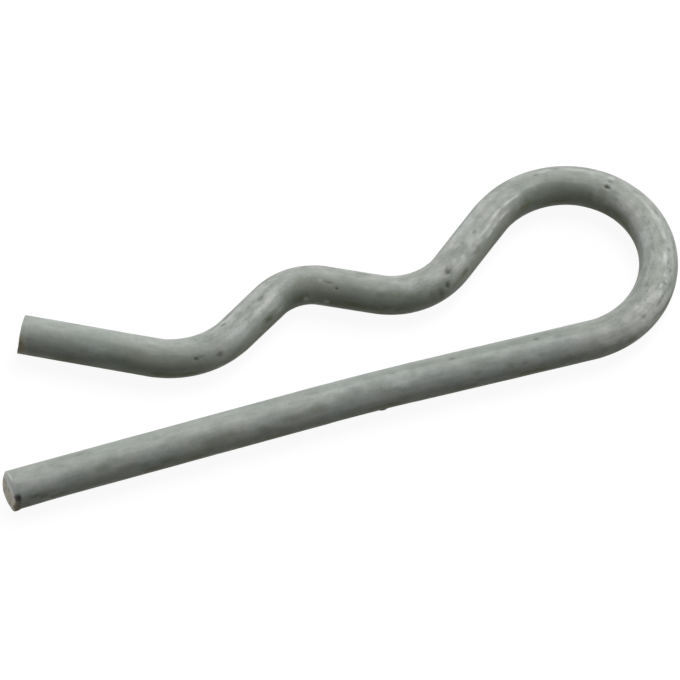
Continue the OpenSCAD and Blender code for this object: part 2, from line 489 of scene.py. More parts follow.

# Marks where the photo shows them. Each row is a kind, how far along the wire and how far to the right
# of its middle the mark shows, and then its length and width. How far to the right is in the photo's pixels.
# Many of these rows paint shade where the bends turn away from the light, and highlights where it falls,
# besides real pits, stains, smears, scuffs and rubbing
PHOTO_MARKS = [
    # Straight leg
    (SPOT, 2.5, 12.5, 1.1, 0.4),
    (SPOT, 3.3, 14.5, 1.1, 0.4),
    (STAIN, 3.2, 13, 2.4, 0.9),
    (SMEAR, 5, 17, 2.5, 0.8),
    (SHEEN, 3.5, -2, 6, 1),
    (FAINT, 8, -17, 0.9, 0.4),
    (STAIN, 9.8, 3, 1.8, 0.8),
    (FAINT, 11.2, -0.5, 1.5, 0.35),
    (STAIN, 12.4, 9, 2.4, 0.8),
    (SMEAR, 15, 17, 2.5, 0.8),
    (FAINT, 16.1, -12, 0.8, 0.5),
    (STAIN, 16.6, 12, 1.6, 0.7),
    (SMEAR, 19.5, 17, 2.2, 0.9),
    (STAIN, 21.6, 7, 2.2, 1.1),
    (STAIN, 23.6, 4, 2.6, 0.7),
    (STAIN, 27, 9, 1.6, 0.9),
    (STAIN, 30, 4, 2.2, 0.6),
    (STAIN, 32.5, 3, 2.2, 0.9),
    (FAINT, 37, -5, 1.4, 0.9),
    (FAINT_SHADE, 51, -15, 28, 0.8),
    (SHEEN, 66.5, 0, 2.6, 1),
    (SMEAR, 39.7, 17, 4, 0.9),
    (SHINE, 41, -2, 3.4, 0.9),
    (FAINT, 41, -13, 0.8, 0.4),
    (FAINT, 43, -10, 0.9, 0.9),
    (SPOT, 47.3, -14, 0.7, 0.3),
    (SMEAR, 48, 17, 3, 0.6),
    (STAIN, 49.5, 6, 1, 0.5),
    (STAIN, 53, 6, 1, 0.6),
    (FAINT, 54.3, 8, 0.7, 0.3),
    (SMEAR, 55, 17, 4, 0.7),
    (SPOT, 56, -14, 0.6, 0.3),
    (FAINT, 56.2, 3, 0.6, 0.5),
    (FAINT, 58.2, -12, 0.7, 0.4),
    (STAIN, 59, 14, 3, 0.9),
    (FAINT_SHADE, 60.5, -11, 5, 0.6),
    (SHINE, 63.8, 2, 3, 2),
    (POLISH_AND_HIGHLIGHT, 67.3, 8, 4.4, 2.2),
    (POLISH_AND_HIGHLIGHT, 70, 4.5, 2, 1),
    (POLISH_AND_HIGHLIGHT, 70, 14.5, 2.2, 1),
    # Loop
    (NICK, 69.6, 17.5, 1.8, 0.15),
    (NICK, 73.3, 17.8, 2, 0.2),
    (SMEAR, 65.3, 16, 1.2, 0.8),
    (SPOT, 67.6, 6, 0.5, 0.45),
    (SHINE, 68.9, 10, 0.35, 1),
    (SPOT, 70, 10, 1.5, 0.4),
    (FAINT, 70.8, -7, 0.9, 0.6),
    (SCUFF, 71.5, 5, 0.45, 0.35),
    (SPOT, 71.8, 8, 0.35, 0.35),
    (SCUFF, 72.05, 9, 0.3, 0.35),
    (SCUFF, 72.7, 6.5, 0.45, 0.4),
    (RUB, 73.5, 6, 10, 2.6),
    (FAINT_SHADE, 71, -15, 4.5, 0.6),
    (FAINT_SHADE, 72.6, -1, 2.6, 1),
    (FAINT_SHADE, 77, 6, 4, 0.8),
    (FAINT_SHADE, 74.3, 16.5, 2.6, 0.5),
    (FAINT_SHADE, 81, 9.5, 7.5, 0.7),
    (FAINT_SHADE, 83, 12, 4, 0.8),
    (SHINE, 77.5, -8, 3, 1.3),
    (SHINE, 79.5, -4.5, 3.2, 1.5),
    (POLISH_AND_HIGHLIGHT, 78, -3, 1.8, 0.8),
    (POLISH_AND_HIGHLIGHT, 80, 0.5, 1.8, 0.8),
    (POLISH_AND_HIGHLIGHT, 81.8, -1, 2.4, 1.3),
    (SHINE, 74.8, 7, 1.4, 0.5),
    (FAINT, 76.5, 7, 0.8, 0.5),
    (RUB, 79, 11, 8.5, 1.6),
    (SHINE, 77, 11, 1, 0.5),
    (SHINE, 79, 14, 1.6, 0.4),
    (SHADE, 81.2, -17.5, 7.5, 1.1),
    (OLIVE, 81.8, -15, 5, 1),
    (OLIVE, 79.6, -17, 3, 0.6),
    (SHEEN, 74, -9, 4, 0.8),
    (PIT, 84.4, 6, 0.8, 0.34),
    (HOLE, 84.5, 6, 0.5, 0.28),
    (SPOT, 84.4, 12.5, 0.5, 0.35),
    (SCUFF, 84.35, 16.5, 0.7, 0.6),
    (DIM, 84.7, -1, 1.1, 1.3),
    (FAINT, 85.8, -9, 0.5, 1),
    (SHADE, 89.2, -8, 10.5, 2.6),
    (SMEAR, 83, -18, 4, 0.5),
    (SMEAR, 90, -16, 4, 0.5),
    (FAINT_SHADE, 88, 8, 9, 1),
    (POLISH_AND_HIGHLIGHT, 87.3, 16.5, 4, 0.5),
    (POLISH_AND_HIGHLIGHT, 90.3, 16.5, 1.8, 0.5),
    (SPOT, 91.3, 14.5, 0.5, 0.35),
    (SHINE, 91.3, 17, 0.8, 0.3),
    (FAINT_SHADE, 92, 11, 4, 1.2),
    (SMEAR, 93.6, -13, 1.8, 0.9),
    # Slope and throat
    (DIM, 98.8, -16, 12.5, 1.7),
    (FAINT, 101.2, -8, 1.3, 0.8),
    (SHINE, 98.2, -5, 2.6, 1),
    (SHINE, 103.8, -3, 2.6, 1.4),
    (RIDGE, 94.6, 0, 2.6, 0.3),
    (RIDGE, 96.7, -1.5, 2.6, 0.35),
    (RIDGE, 99, -3, 3, 0.35),
    (POLISH_AND_HIGHLIGHT, 100.6, -3, 2.6, 0.8),
    (RIDGE, 96.3, -8, 2, 0.25),
    (RIDGE, 97.7, -8, 0.8, 0.35),
    (RIDGE, 98.9, -9, 1.2, 0.25),
    (SPOT, 99.8, 4, 0.5, 0.45),
    (SCUFF, 102.8, -2, 0.5, 0.35),
    (SHINE, 103.5, -1, 0.6, 0.35),
    (SHINE, 102, 8.5, 2, 0.6),
    (FAINT, 103.2, 10, 0.9, 0.4),
    (BRUSH, 99, 9, 11, 2.4),
    (POLISH_AND_HIGHLIGHT, 98.5, 15.5, 12, 0.9),
    (SCUFF, 100.6, 15, 1.4, 0.35),
    (SCUFF, 102.6, 14, 1, 0.35),
    (OLIVE, 104.2, -14, 2.6, 0.7),
    (SPOT, 104, -14, 1.1, 0.6),
    (SPOT, 105.1, 0, 0.9, 0.85),
    (PIT, 105.15, 0, 0.5, 0.5),
    (PIT, 106.1, -9.5, 0.4, 0.7),
    (SHADE, 107.9, -13, 3.4, 1.5),
    (SHADE, 110.2, -8, 3.2, 1.9),
    (NICK, 108.5, 18.5, 2.2, 0.2),
    (FAINT_SHADE, 109, 16, 4, 0.6),
    (DIM, 111.7, 3, 1.6, 0.7),
    # Hump
    (DIM, 116.5, -6, 11.6, 2.7),
    (SHADE, 111.8, -6, 3.6, 2.2),
    (SHADE, 122.2, -10, 4.6, 2),
    (DIM, 120.9, -3, 2.8, 2.5),
    (FAINT_SHADE, 117, 8, 10, 1),
    (SMEAR, 115.5, -15.5, 8, 1),
    (STAIN, 107.1, -9, 1.6, 1.2),
    (SPOT, 107, -12.5, 0.5, 1),
    (FAINT, 107.9, -10, 0.5, 1.2),
    (FAINT, 112.9, -1, 0.7, 0.5),
    (NICK, 114.9, 18, 1.8, 0.3),
    (PIT, 117.35, -1, 0.34, 0.26),
    (SPOT, 118.4, 4, 0.8, 0.26),
    (SHINE, 119.2, 4.5, 0.6, 0.4),
    (SCUFF, 118.2, -15, 0.7, 0.6),
    (NICK, 120.6, 18.5, 0.6, 0.25),
    (SCUFF, 120.8, -14.5, 0.8, 0.7),
    (OLIVE, 121.8, -13, 2.4, 1.1),
    # Slope and mouth
    (DIM, 127.2, -16, 10, 1.7),
    (SHINE, 124.6, -13, 1.2, 0.4),
    (POLISH_AND_HIGHLIGHT, 124.9, 0.5, 2.2, 0.5),
    (POLISH_AND_HIGHLIGHT, 126.6, 0, 3, 0.7),
    (POLISH_AND_HIGHLIGHT, 129, 0.5, 2.8, 0.7),
    (SHINE, 130.4, 1, 1.2, 0.4),
    (SPOT, 125.3, 8, 0.8, 0.4),
    (OLIVE, 126.4, -13, 1.8, 0.8),
    (SHADE, 125.8, -11, 2.2, 0.7),
    (SPOT, 126.4, -13, 0.9, 0.7),
    (FAINT, 129, -4, 0.8, 0.4),
    (BRUSH, 127, 9, 10, 2.2),
    (POLISH_AND_HIGHLIGHT, 127, 15.5, 10, 1),
    (SCUFF, 125.5, 16, 1.6, 0.3),
    (SCUFF, 129, 15, 1.2, 0.3),
    (PIT, 130.5, 15.5, 0.6, 0.25),
    (NICK, 129.4, 18.2, 1.6, 0.25),
    (SPOT, 132.5, -8, 0.6, 0.5),
    (PIT, 134.85, -3.5, 0.5, 0.4),
    (SPOT, 134.4, -2.5, 0.7, 0.3),
    (SMEAR, 137, -17, 6, 0.8),
    (DIM, 138.5, -7, 9.5, 2.4),
    (STAIN, 138.4, -14.5, 1.8, 0.7),
    (FAINT_SHADE, 142, 7, 18, 1.2),
    # Flared tip
    (DIM, 140.5, -1, 2, 1.2),
    (STAIN, 142.1, -8, 1.8, 0.6),
    (STAIN, 146.3, -5, 1.2, 0.6),
    (FAINT_SHADE, 149, -2, 6, 1.4),
    (OLIVE, 148, -17, 2.6, 0.7),
]


def heading_at(along, bends, wire_radius):
    """Heading of the wire at a distance along it."""
    heading = 0.0
    for length, curvature in path_pieces(bends, wire_radius):
        step = min(along, length)
        heading += curvature * step
        along -= step
    return heading


def on_wire(photo_mark, bends, wire_radius):
    """The row of a mark in the photo, as a row of a mark on the wire."""
    kind, shown_along, across, *size = photo_mark
    rounds = 6
    sight = direction(math.radians(PHOTO_AZIMUTH - 90), math.radians(PHOTO_ELEVATION))
    share = across * PHOTO_SPAN * MM / PHOTO_PIXELS / wire_radius
    share = min(max(share, -1.0), 1.0)
    rise = math.sqrt(1 - share ** 2)

    # What faces the camera shows shifted along the wire by the slant of the view there
    along = shown_along * MM
    for _ in range(rounds):
        heading = heading_at(along, bends, wire_radius)
        ahead = Vector((math.cos(heading), math.sin(heading), 0.0))
        facing = sight - sight.dot(ahead) * ahead
        along = shown_along * MM + wire_radius * rise * sight.dot(ahead) / facing.length
    facing.normalize()
    outward = share * ahead.cross(facing) + rise * facing
    around = math.atan2(outward.z, outward.dot(Vector((-ahead.y, ahead.x, 0.0))))
    return kind, round(along / MM, 1), round(math.degrees(around)), *size


def make_marks(bends, wire):
    """Points in the straightened wire's own space, one for each mark."""
    radius = wire.diameter / 2
    marks = WIRE_MARKS + [on_wire(mark, bends, radius) for mark in PHOTO_MARKS]
    kinds, *spots = zip(*marks)
    tones, skins, depths, fades = zip(*kinds)
    points, sizes = [], []
    for along, around, length, width in zip(*spots):
        angle = math.radians(around)
        points.append((along * MM, radius * math.cos(angle), radius * math.sin(angle)))
        sizes.append((length / 2 * MM, width / 2 * MM, width / 2 * MM))
    return mesh_of_points(
        "surface_marks", points, [], {"mark_depth": depths, "mark_fade": fades},
        {"mark_size": sizes, "mark_tone": tones, "mark_skin": skins})


# Sweep of the wire

# Properties of the wire that the sweep takes as inputs, under the same words
SWEEP_SIZES = [
    "rim_radius", "rim_lift", "leg_cut_angle", "flare_cut_angle", "flare_rim_share", "cut_dome",
    "leg_burr", "flare_burr", "leg_swell", "leg_swell_length", "lump_height",
]

# Noises that shape the wire: scale for each metre, detail and roughness
BLADE_TRACKS = 900.0, 3.0, 0.6
BROAD_LUMPS = 350.0, 1.0, 0.5
FINE_LUMPS = 1500.0, 2.0, 0.55
RAGGED_EDGES = 1100.0, 3.0, 0.65


def titled(key):
    """A property's key as the name of an input."""
    return key.replace("_", " ").title()


def open_tree(name, sockets):
    """A new geometry tree with named inputs, its builder and its group input's outputs."""
    tree = bpy.data.node_groups.new(name, "GeometryNodeTree")
    tree.interface.new_socket("Geometry", in_out="OUTPUT", socket_type="NodeSocketGeometry")
    for label, kind in sockets:
        tree.interface.new_socket(label, in_out="INPUT", socket_type="NodeSocket" + kind)
    builder = NodeBuilder(tree)
    return tree, builder, builder.add("NodeGroupInput").outputs


def build_sweep_tree():
    """Sweeps a ring along the path, shapes the cut ends and presses the marks in."""
    tree, nodes, given = open_tree("Sheared wire sweep", [
        ("Geometry", "Geometry"),
        ("Sides", "Int"),
        ("Wire Radius", "Float"),
        *((titled(key), "Float") for key in SWEEP_SIZES),
        ("Marks", "Object"),
        ("Seed", "Int"),
        ("Material", "Material"),
    ])
    swept, centre, turn = sweep_rings(nodes, given)
    heading_x, heading_y = nodes.turned(nodes.read("heading"))
    ahead = nodes.xyz(heading_x, heading_y, 0.0)
    left = nodes.xyz(nodes.times(heading_y, -1.0), heading_x, 0.0)
    to_left, to_top = nodes.turned(turn)
    outward = nodes.vector("ADD", nodes.scaled(left, to_left), nodes.xyz(0.0, 0.0, to_top))
    radius = nodes.read("ring_radius")
    side = nodes.times(radius, to_left)
    up = nodes.times(radius, to_top)
    stored = nodes.store(swept, "wire_place", nodes.xyz(nodes.read("along"), side, up), "FLOAT_VECTOR")
    tone, skin, dent = press_marks(nodes, given)
    stored = nodes.store(stored, "mark_tone", tone, "FLOAT_VECTOR")
    stored = nodes.store(stored, "mark_skin", skin, "FLOAT_VECTOR")
    stored = nodes.store(stored, "dent", dent)

    # Where each point goes: out from the centre line, along the wire at the ends, and in at dents
    reach = end_shift(nodes, given, side, up)
    lift = nodes.minus(coat_lumps(nodes, given), nodes.read("dent"))
    lift = nodes.plus(lift, leg_swell(nodes, given, up))
    on_body = nodes.minus(1.0, nodes.read("cut_face"))
    from_centre = nodes.plus(radius, nodes.times(lift, on_body))
    offset = nodes.vector("ADD", nodes.scaled(outward, from_centre), nodes.scaled(ahead, reach))
    lowest = nodes.minus(nodes.split(centre)["Z"], given["Wire Radius"])
    position = rest_on(nodes, nodes.vector("ADD", centre, offset), lowest)
    placed = nodes.add("GeometryNodeSetPosition", {"Geometry": stored, "Position": position}).outputs[0]
    smooth = nodes.add("GeometryNodeSetShadeSmooth", {"Geometry": placed}).outputs[0]
    realized = nodes.add("GeometryNodeRealizeInstances", {"Geometry": smooth}).outputs[0]
    finished = nodes.add("GeometryNodeSetMaterial", {
        "Geometry": realized, "Material": given["Material"]}).outputs[0]
    nodes.add("NodeGroupOutput", {"Geometry": finished})
    return tree


def rest_on(nodes, position, lowest):
    """The position, lifted to the floor where the coat's lumps would reach under it."""
    x, y, z = nodes.split(position)
    return nodes.xyz(x, y, nodes.higher(z, lowest))


def sweep_rings(nodes, given):
    """Mesh of rings along the path, each point's place on the centre line and its turn round it."""
    path = nodes.add("GeometryNodeMeshToCurve", {"Mesh": given["Geometry"]}).outputs[0]
    hold_centre = nodes.add("GeometryNodeCaptureAttribute", {"Geometry": path})
    hold_centre.capture_items.new("VECTOR", "Centre")
    nodes.feed(hold_centre.inputs["Centre"], nodes.add("GeometryNodeInputPosition").outputs[0])
    held = hold_centre.outputs["Geometry"]
    upright = nodes.add("GeometryNodeSetCurveNormal", {"Curve": held}, mode="Z_UP")
    circle = nodes.add("GeometryNodeCurvePrimitiveCircle", {"Resolution": given["Sides"], "Radius": 1.0})
    share = nodes.math("DIVIDE", nodes.add("GeometryNodeInputIndex").outputs[0], given["Sides"])
    hold_turn = nodes.add("GeometryNodeCaptureAttribute", {"Geometry": circle.outputs["Curve"]})
    hold_turn.capture_items.new("FLOAT", "Turn")
    nodes.feed(hold_turn.inputs["Turn"], nodes.times(share, math.tau))
    swept = nodes.add("GeometryNodeCurveToMesh", {
        "Curve": upright.outputs[0], "Profile Curve": hold_turn.outputs["Geometry"],
        "Scale": nodes.read("ring_radius"), "Fill Caps": True}).outputs[0]
    return swept, hold_centre.outputs["Centre"], hold_turn.outputs["Turn"]


def end_shift(nodes, given, side, up):
    """Distance along the wire by which each point near an end moves to lie on its sheared face."""
    wire_radius, rim_radius, rim_lift = given["Wire Radius"], given["Rim Radius"], given["Rim Lift"]
    end_side = nodes.read("end_side")
    at_flare = nodes.math("GREATER_THAN", end_side, 0.0)

    # Rounding that the blade drew in at the top, which stops just short of upright
    steepest = 0.99
    margin = nodes.times(rim_lift, 2.0)
    plug_radius = nodes.plus(wire_radius, margin)
    plug_height = nodes.minus(up, nodes.minus(rim_lift, margin))
    from_axis = nodes.vector("LENGTH", nodes.xyz(side, plug_height, 0.0))
    over = nodes.higher(nodes.minus(from_axis, nodes.minus(plug_radius, rim_radius)), 0.0)
    over = nodes.math("MINIMUM", over, nodes.times(rim_radius, steepest))
    left_over = nodes.minus(nodes.times(rim_radius, rim_radius), nodes.times(over, over))
    rim = nodes.minus(rim_radius, nodes.math("SQRT", left_over))
    rim = nodes.times(rim, nodes.blend_value(at_flare, 1.0, given["Flare Rim Share"]))

    # Lean of the cut
    angle = nodes.blend_value(at_flare, given["Leg Cut Angle"], given["Flare Cut Angle"])
    to_near_side = nodes.times(side, nodes.times(end_side, -1.0))
    behind = nodes.minus(wire_radius, to_near_side)
    lean = nodes.times(behind, nodes.math("TANGENT", angle))

    # Dome, torn steel at the bottom, and the tracks of the blade, drawn out up and down the face
    track_stretch = (3.0, 0.7, 1.0)
    track_height = 0.08 * MM
    share = nodes.math("DIVIDE", nodes.vector("LENGTH", nodes.xyz(side, up, 0.0)), wire_radius)
    dome = nodes.times(given["Cut Dome"], nodes.minus(1.0, nodes.times(share, share)))
    low = nodes.ramp(nodes.math("DIVIDE", up, wire_radius), 0.2, -1.0, smooth=True)
    burr = nodes.times(nodes.blend_value(at_flare, given["Leg Burr"], given["Flare Burr"]), low)
    face_place = nodes.vector("MULTIPLY", nodes.xyz(side, up, end_side), track_stretch)
    tracks = nodes.minus(nodes.noise(face_place, *BLADE_TRACKS, given["Seed"]), 0.5)
    tracks = nodes.times(tracks, track_height)

    reach = nodes.plus(nodes.plus(dome, burr), tracks)
    shift = nodes.minus(reach, nodes.plus(rim, lean))
    shift = nodes.times(shift, nodes.read("end_share"))
    shift = nodes.minus(shift, nodes.read("overrun"))
    return nodes.times(shift, end_side)


def leg_swell(nodes, given, up):
    """Bulge low on the sides of the straight leg's end, by heights that are shares of the radius."""
    height = nodes.math("DIVIDE", up, given["Wire Radius"])
    below_middle = nodes.ramp(height, 0.1, -0.5, smooth=True)
    above_floor = nodes.ramp(height, -1.0, -0.7, smooth=True)
    low = nodes.times(below_middle, above_floor)
    near = nodes.ramp(nodes.read("along"), given["Leg Swell Length"], 0.0, smooth=True)
    return nodes.times(given["Leg Swell"], nodes.times(low, near))


def coat_lumps(nodes, given):
    """Height of the zinc coat's shallow lumps and runs, drawn out along the wire."""
    drawn_out = (0.5, 1.0, 1.0)
    place = nodes.vector("MULTIPLY", nodes.read("wire_place", "FLOAT_VECTOR"), drawn_out)
    broad = nodes.noise(place, *BROAD_LUMPS, given["Seed"])
    fine = nodes.noise(place, *FINE_LUMPS, given["Seed"])
    return nodes.times(nodes.minus(nodes.weighed(broad, 1.4, fine, 0.6), 1.0), given["Lump Height"])


def press_marks(nodes, given):
    """Tone, skin and depth of the marks at each point, gathered over all of them."""
    marks = nodes.add("GeometryNodeObjectInfo", {"Object": given["Marks"]}).outputs["Geometry"]
    size_of = nodes.add("GeometryNodeAttributeDomainSize", {"Geometry": marks}, component="MESH")
    place = nodes.read("wire_place", "FLOAT_VECTOR")
    ragged = nodes.ramp(nodes.noise(place, *RAGGED_EDGES, given["Seed"]), 0.25, 0.75, -0.8, 0.8)

    start = nodes.add("GeometryNodeRepeatInput", {"Iterations": size_of.outputs["Point Count"]})
    end = nodes.add("GeometryNodeRepeatOutput")
    start.pair_with_output(end)
    end.repeat_items.clear()
    end.repeat_items.new("VECTOR", "Tone")
    end.repeat_items.new("VECTOR", "Skin")
    end.repeat_items.new("FLOAT", "Dent")

    def sample(value, kind):
        feeds = {"Geometry": marks, "Value": value, "Index": start.outputs["Iteration"]}
        node = nodes.add("GeometryNodeSampleIndex", feeds, data_type=kind, domain="POINT")
        return node.outputs["Value"]

    middle = sample(nodes.add("GeometryNodeInputPosition").outputs[0], "FLOAT_VECTOR")
    size = sample(nodes.read("mark_size", "FLOAT_VECTOR"), "FLOAT_VECTOR")
    away = nodes.vector("DIVIDE", nodes.vector("SUBTRACT", place, middle), size)
    fade = sample(nodes.read("mark_fade"), "FLOAT")
    away = nodes.plus(nodes.vector("LENGTH", away), nodes.times(ragged, fade))
    inside = nodes.ramp(away, nodes.plus(1.0, fade), nodes.minus(1.0, fade), smooth=True)

    # Where marks overlap, the strongest shows, but their depths add up
    for item in ("tone", "skin"):
        found = nodes.scaled(sample(nodes.read("mark_" + item, "FLOAT_VECTOR"), "FLOAT_VECTOR"), inside)
        label = item.capitalize()
        nodes.feed(end.inputs[label], nodes.vector("MAXIMUM", start.outputs[label], found))
    dent = nodes.times(sample(nodes.read("mark_depth"), "FLOAT"), inside)
    nodes.feed(end.inputs["Dent"], nodes.plus(start.outputs["Dent"], dent))
    return end.outputs["Tone"], end.outputs["Skin"], end.outputs["Dent"]


def apply_tree(source, name, tree, values):
    """Runs a tree on an object and returns its result as a plain mesh object at the origin."""
    modifier = source.modifiers.new(tree.name, "NODES")
    modifier.node_group = tree
    for item in tree.interface.items_tree:
        if item.item_type == "SOCKET" and item.in_out == "INPUT" and item.name in values:
            modifier[item.identifier] = values[item.name]
    bpy.context.view_layer.update()
    depsgraph = bpy.context.evaluated_depsgraph_get()
    mesh = bpy.data.meshes.new_from_object(
        source.evaluated_get(depsgraph), preserve_all_data_layers=True, depsgraph=depsgraph)
    source.modifiers.remove(modifier)
    mesh.name = name
    return add_object(name, mesh)


# Materials

# Patterns in the skin: how the place is squeezed along and across the wire, then the noise's scale for
# each mm, its detail, its roughness and its seed. A noise lies mostly between 0.3 and 0.7.
PATTERNS = {
    "clouds": ((0.55, 1.0, 1.0), 0.5, 2.0, 0.5, 0.0),
    "mottle": ((0.55, 1.0, 1.0), 1.5, 3.0, 0.6, 3.0),
    "grain": ((1.0, 1.0, 1.0), 5.0, 2.0, 0.6, 5.0),
    "drawing_lines": ((0.12, 2.6, 2.6), 1.0, 3.0, 0.6, 7.0),
    "brown_film": ((1.0, 1.6, 0.6), 1.3, 4.0, 0.6, 11.0),
    "warm_patches": ((0.55, 1.0, 1.0), 0.35, 1.0, 0.5, 13.0),
    "bright_streaks": ((0.3, 2.2, 2.2), 1.0, 3.0, 0.55, 15.0),
    "dull_flecks": ((0.8, 1.2, 1.2), 1.5, 3.0, 0.6, 17.0),
    "soiled_and_shaded_patches": ((0.5, 1.0, 1.0), 0.7, 3.0, 0.6, 19.0),
}

# How much of the skin each kind of wear, painted shade and painted highlight hides at its strongest
BRIGHT_COVER = 0.45
DULL_COVER = 0.6
GRIME_AND_SHADE_COVER = 0.85
SCUFF_AND_HIGHLIGHT_COVER = 0.8
PIT_COVER = 0.85

# Roughness of the smooth and the dull skin, of scuffs, and of pits and grime
SKIN_ROUGHNESS = 0.5, 0.62
SCUFF_ROUGHNESS = 0.42
DIRT_ROUGHNESS = 0.75

# Metallic share of the weathered skin, of scuffs and of bare steel
SKIN_METALLIC = 0.06
SCUFF_METALLIC = 0.2
STEEL_METALLIC = 0.25

# Specular level of the wire, and the relief of its grain, lines and pits
SPECULAR = 0.4
RELIEF_STRENGTH = 0.5
RELIEF_HEIGHT = 0.03 * MM
PIT_RELIEF = 0.8


def empty_nodes(owner):
    """Node builder for a material or a world."""
    owner.use_nodes = True
    owner.node_tree.nodes.clear()
    return NodeBuilder(owner.node_tree)


def attribute(nodes, name, output):
    return nodes.add("ShaderNodeAttribute", attribute_name=name).outputs[output]


def pattern(nodes, place, name):
    """One of the skin's patterns, at a place on the straightened wire in mm."""
    squeeze, *settings = PATTERNS[name]
    return nodes.noise(nodes.vector("MULTIPLY", place, squeeze), *settings)


def zinc_skin(nodes, place, worked, finish):
    """Colour of the clouded grey skin, the height of its grain and drawing lines, and its mottle."""
    mottle = pattern(nodes, place, "mottle")
    broad = nodes.weighed(pattern(nodes, place, "clouds"), 0.32, mottle, 0.36)
    fine = nodes.weighed(pattern(nodes, place, "grain"), 0.16, pattern(nodes, place, "drawing_lines"), 0.16)

    # The bending tools leave the skin warmer and more broken up
    plain_spread, worked_spread = 0.135, 0.1
    worked_warmth = 0.45
    spread = nodes.ramp(worked, 0.0, 1.0, plain_spread, worked_spread)
    share = nodes.ramp(nodes.plus(broad, fine), nodes.minus(0.5, spread), nodes.plus(0.5, spread))
    colour = nodes.blend(share, opaque(finish.zinc_dark), opaque(finish.zinc_light))
    patches = nodes.ramp(pattern(nodes, place, "warm_patches"), 0.4, 0.6, 0.0, 0.8)
    warmth = nodes.plus(patches, nodes.times(worked, worked_warmth), clamp=True)
    tint = nodes.blend(warmth, WHITE, opaque(finish.warm_tint))
    return nodes.vector("MULTIPLY", colour, tint), nodes.weighed(fine, 3.0, mottle, 0.6), mottle


def rubbed_skin(nodes, colour, crazing, rubbed, finish):
    """The colour, with bright streaks and dull flecks where the bending tools rubbed the skin."""
    bright = nodes.times(nodes.ramp(crazing, 0.48, 0.64), rubbed)
    dull = nodes.times(nodes.ramp(crazing, 0.47, 0.36), rubbed)
    colour = nodes.blend(nodes.times(bright, BRIGHT_COVER), colour, opaque(finish.scuff_and_highlight))
    return nodes.blend(nodes.times(dull, DULL_COVER), colour, opaque(finish.pit))


def soiled_and_shaded_skin(nodes, colour, place, mottle, tarnished_and_shaded, smeared, finish):
    """The colour, with green-grey painted shade, partly tarnishing, where marks lay it, and with dirt and
    olive painted shade low on the sides, and the share of dirt and shade.
    """
    patches = pattern(nodes, place, "soiled_and_shaded_patches")
    broken_up = nodes.weighed(patches, 0.5, mottle, 0.5)
    # Green-grey painted shade where marks lay it, partly tarnishing, broken up by the patches
    tarnish_and_shade = nodes.times(tarnished_and_shaded, nodes.ramp(broken_up, 0.36, 0.6, 0.4, 0.92))
    colour = nodes.blend(tarnish_and_shade, colour, opaque(finish.tarnish_and_shade))

    # Grime and the painted shade of some marks lie in smears. Low on the sides the colour darkens to olive
    # as painted shade, partly dirt, and this runs out again underneath
    up = nodes.split(place)["Z"]
    low = nodes.times(nodes.ramp(up, 1.2, -1.0), nodes.ramp(patches, 0.35, 0.6, 0.3, 1.0))
    low = nodes.times(low, nodes.ramp(up, -1.1, -1.8, 1.0, 0.4))
    smears_and_shade = nodes.times(smeared, nodes.ramp(mottle, 0.35, 0.6, 0.5, 0.95))
    grime_and_shade = nodes.higher(low, smears_and_shade)
    return nodes.blend(nodes.times(grime_and_shade, GRIME_AND_SHADE_COVER), colour, opaque(finish.grime_and_shade)), grime_and_shade


def cut_shares(nodes, place, mottle):
    """Shares of bare steel and of coat that the blade smeared over the top, on the cut faces."""
    most_smeared = 0.75
    ragged = nodes.ramp(mottle, 0.3, 0.7, -0.3, 0.3)
    cut_face = attribute(nodes, "cut_face", "Fac")
    bare = nodes.ramp(nodes.plus(nodes.split(place)["Z"], ragged), 0.6, 0.25)
    smeared = nodes.minus(most_smeared, bare, clamp=True)
    return nodes.times(cut_face, bare), nodes.times(cut_face, smeared)


def filmed_steel(nodes, place, browned_and_shaded, finish):
    """Colour of bare steel under a brown film."""
    film = nodes.ramp(pattern(nodes, place, "brown_film"), 0.48, 0.68)
    # Where marks brown the steel, they show a real brown film at the flared tip, and painted shade, partly
    # film, low on the straight leg's cut
    return nodes.blend(nodes.higher(film, browned_and_shaded), opaque(finish.cut_steel), opaque(finish.rust))


